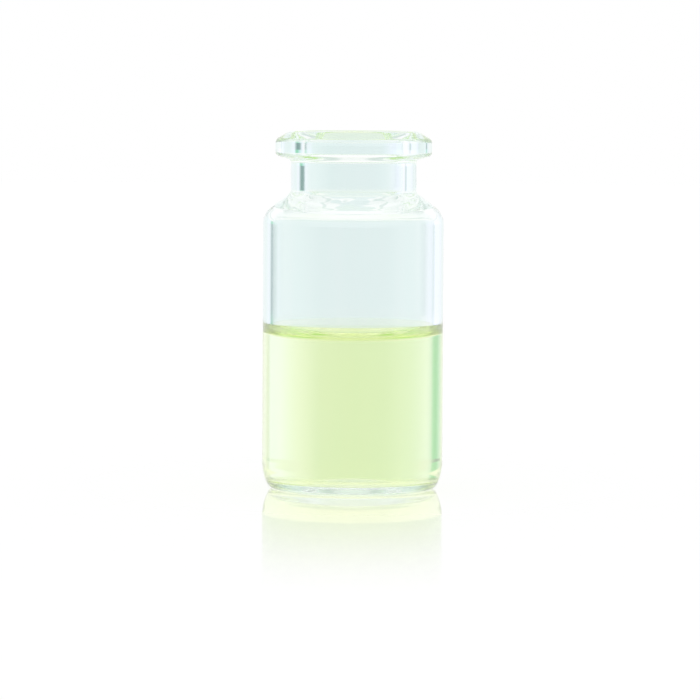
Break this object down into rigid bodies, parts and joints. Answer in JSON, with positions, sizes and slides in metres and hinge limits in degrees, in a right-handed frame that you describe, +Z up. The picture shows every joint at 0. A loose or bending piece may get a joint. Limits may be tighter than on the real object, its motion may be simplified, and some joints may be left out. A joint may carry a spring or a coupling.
{
  "type": "glass sample vial",
  "caption": "Open clear glass vial with a crimp neck and a flat base, half full of a pale liquid sample with a curved surface.",
  "frame": {"origin": "centre of the standing ring, on the surface that the vial stands on", "axes": "+Z up along the vial's axis, out of the mouth; X and Y lie in the plane of the base and are alike, because the vial is turned about Z"},
  "size_m": [0.023, 0.023, 0.0456],
  "materials": {
    "clear_glass": "clear, fire-polished borosilicate tubing glass",
    "sample_liquid": "clear pale yellow-green liquid"
  },
  "bodies": {
    "root": {"vial": "clear_glass", "liquid_sample": "sample_liquid"}
  },
  "joints": []
}
